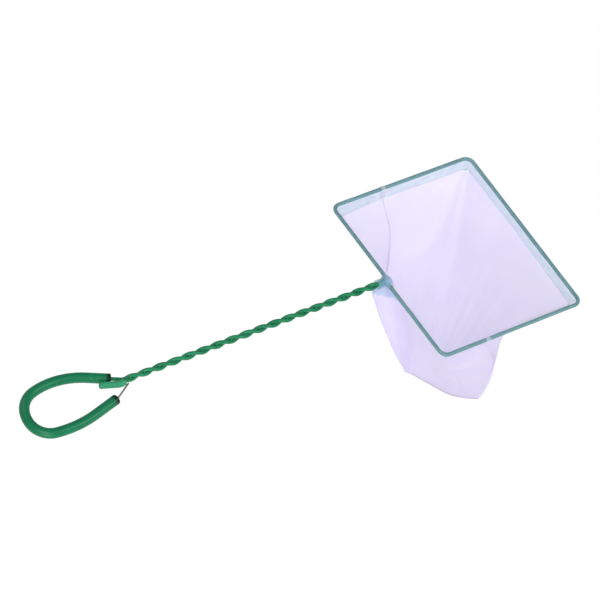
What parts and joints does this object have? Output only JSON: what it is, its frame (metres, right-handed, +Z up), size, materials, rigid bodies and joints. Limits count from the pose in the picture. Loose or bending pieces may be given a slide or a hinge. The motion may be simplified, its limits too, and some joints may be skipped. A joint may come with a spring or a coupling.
{
  "type": "aquarium fish net",
  "caption": "Hand net for an aquarium: a soft mesh bag on a rectangular wire frame, with a twisted coated-wire handle that ends in a sleeved hanging loop.",
  "frame": {"origin": "on the handle's axis, in the middle of the hanging loop's round end and in the plane of the wire", "axes": "+X along the handle towards the frame, +Z up out of the bag's mouth, bag hanging towards -Z"},
  "size_m": [0.4452, 0.1564, 0.1593],
  "materials": {
    "steel_core": "drawn wire",
    "vinyl_coat": "glossy dipped vinyl",
    "vinyl_sleeve": "satin extruded vinyl",
    "vinyl_cap": "glossy soft vinyl cap",
    "hem_cloth": "doubled nylon mesh",
    "net_cloth": "fine nylon mesh",
    "seam_cloth": "sewn nylon mesh edge"
  },
  "bodies": {
    "net": {"frame_core": "steel_core", "frame_coat": "vinyl_coat", "strand_a_core": "steel_core", "strand_a_coat": "vinyl_coat", "strand_b_core": "steel_core", "strand_b_coat": "vinyl_coat", "loop_core": "steel_core", "loop_coat": "vinyl_coat", "grip_sleeve": "vinyl_sleeve", "stub_cap": "vinyl_cap", "hem": "hem_cloth", "near_panel": "net_cloth", "far_panel": "net_cloth", "left_seam": "seam_cloth", "right_seam": "seam_cloth"},
    "bag_foot": {"toe_seam": "seam_cloth"}
  },
  "joints": [
    {"name": "bag_collapse", "type": "slide", "parent": "net", "child": "bag_foot", "axis": [0, 0, 1], "range_m": [0, 0.125], "deforming": ["near_panel", "far_panel", "left_seam", "right_seam"]}
  ]
}
